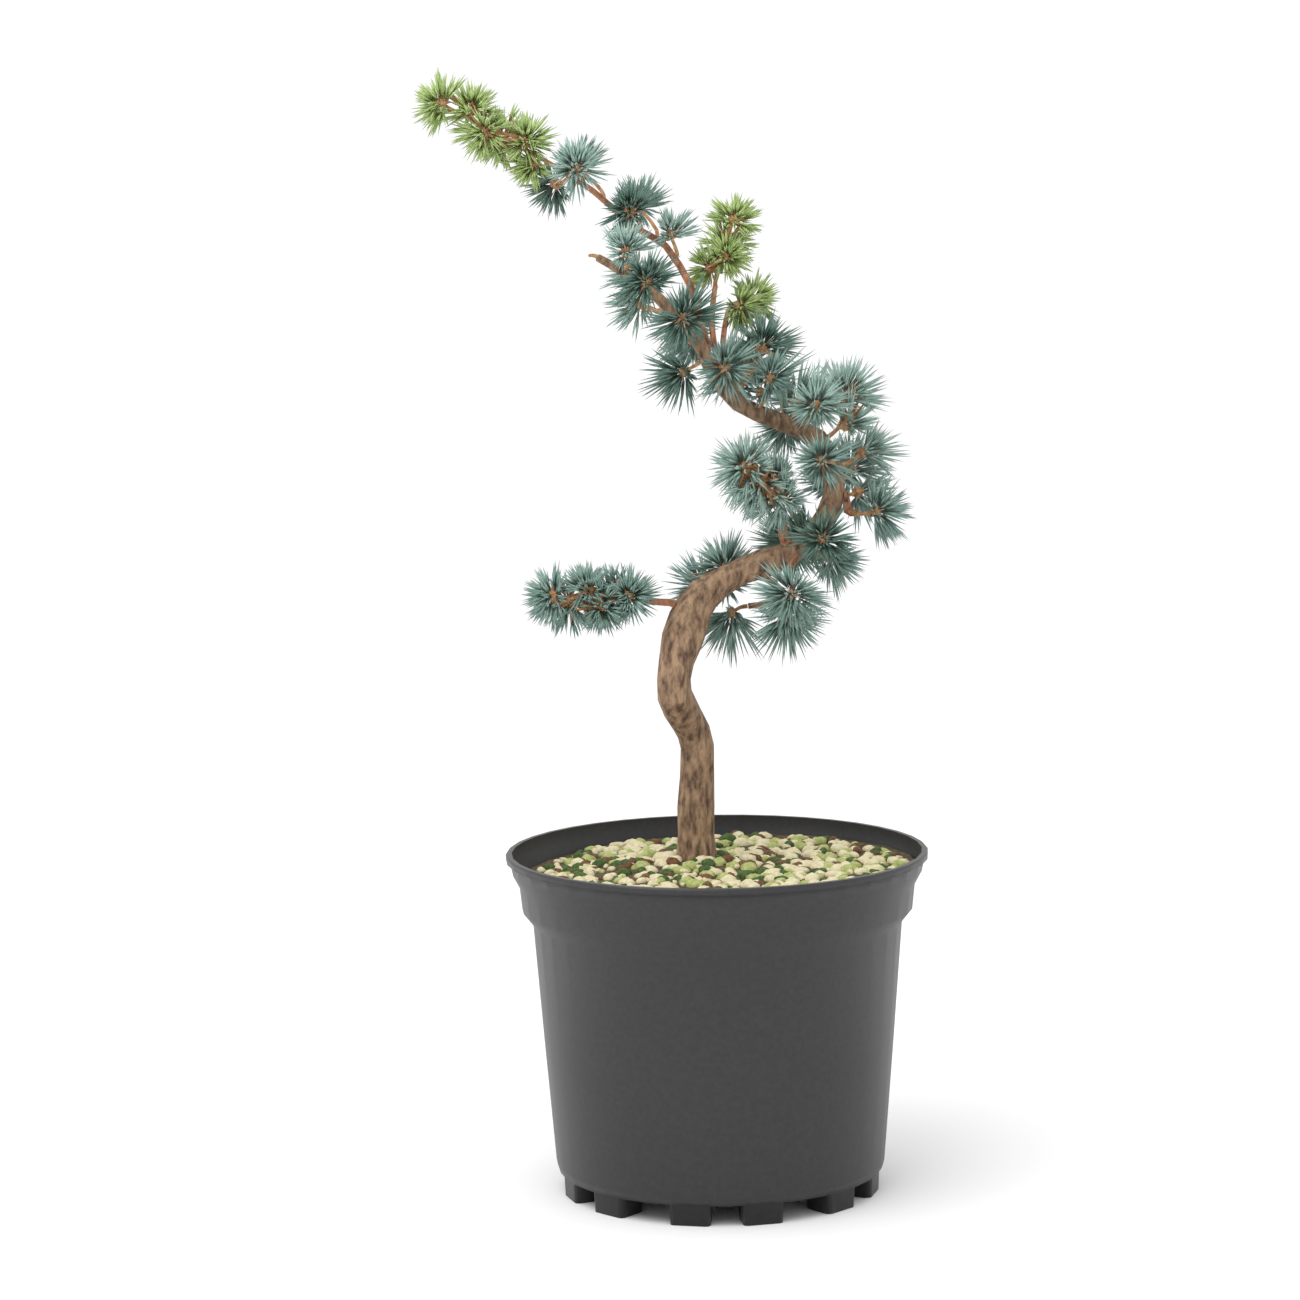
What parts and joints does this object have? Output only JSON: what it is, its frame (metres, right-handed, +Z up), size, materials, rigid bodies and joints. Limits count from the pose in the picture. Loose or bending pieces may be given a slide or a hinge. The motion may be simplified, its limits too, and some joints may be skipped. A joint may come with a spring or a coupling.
{
  "type": "potted conifer",
  "caption": "Young blue atlas cedar with a twisted, leaning trunk and sparse blue-green needle clusters, potted in a round black nursery pot with a collar, a lip and notched feet.",
  "frame": {"origin": "on the floor, under the middle of the whole object's bounding box; the pot's feet stand at z = 0", "axes": "+Z up, the plant's front faces -Y, the leader leans towards -X"},
  "size_m": [0.2262, 0.19, 0.5062],
  "materials": {
    "pot_plastic": "satin moulded black",
    "potting_grit": "rough cream grit with moss",
    "old_bark": "rough flaky bark",
    "young_bark": "smooth young bark",
    "needles": "waxy blue-green"
  },
  "bodies": {
    "root": {"pot": "pot_plastic", "soil": "potting_grit", "trunk": "old_bark", "leader_bough": "young_bark", "upright_bough": "young_bark", "right_upper_bough": "young_bark", "left_low_bough": "young_bark", "left_mid_bough": "young_bark", "hanging_bough": "young_bark", "right_low_bough": "young_bark", "low_front_bough": "young_bark", "spray_leader_end": "needles", "spray_leader_front": "needles", "spray_leader_under": "needles", "spray_leader_middle": "needles", "spray_leader_low": "needles", "spray_leader_back": "needles", "spray_leader_low_back": "needles", "spray_tip_end": "needles", "spray_tip_top": "needles", "spray_tip_front": "needles", "spray_tip_under": "needles", "spray_tip_back": "needles", "spray_crown_front": "needles", "spray_crown_left": "needles", "spray_crown_middle": "needles", "spray_crown_right": "needles", "spray_crown_low_right": "needles", "spray_crown_back": "needles", "spray_crown_low_back": "needles", "spray_upright": "needles", "spray_right_upper": "needles", "spray_bend_front": "needles", "spray_bend_top": "needles", "spray_bend_back": "needles", "spray_right_upper_side": "needles", "spray_right_back": "needles", "spray_right_front": "needles", "spray_right_low": "needles", "spray_right_low_top": "needles", "spray_left_mid": "needles", "spray_low_right": "needles", "spray_low_side": "needles", "spray_low_front": "needles", "spray_low_under": "needles", "spray_low_back": "needles", "spray_hanging": "needles", "spray_behind_trunk": "needles", "spray_left_low": "needles"}
  },
  "joints": []
}
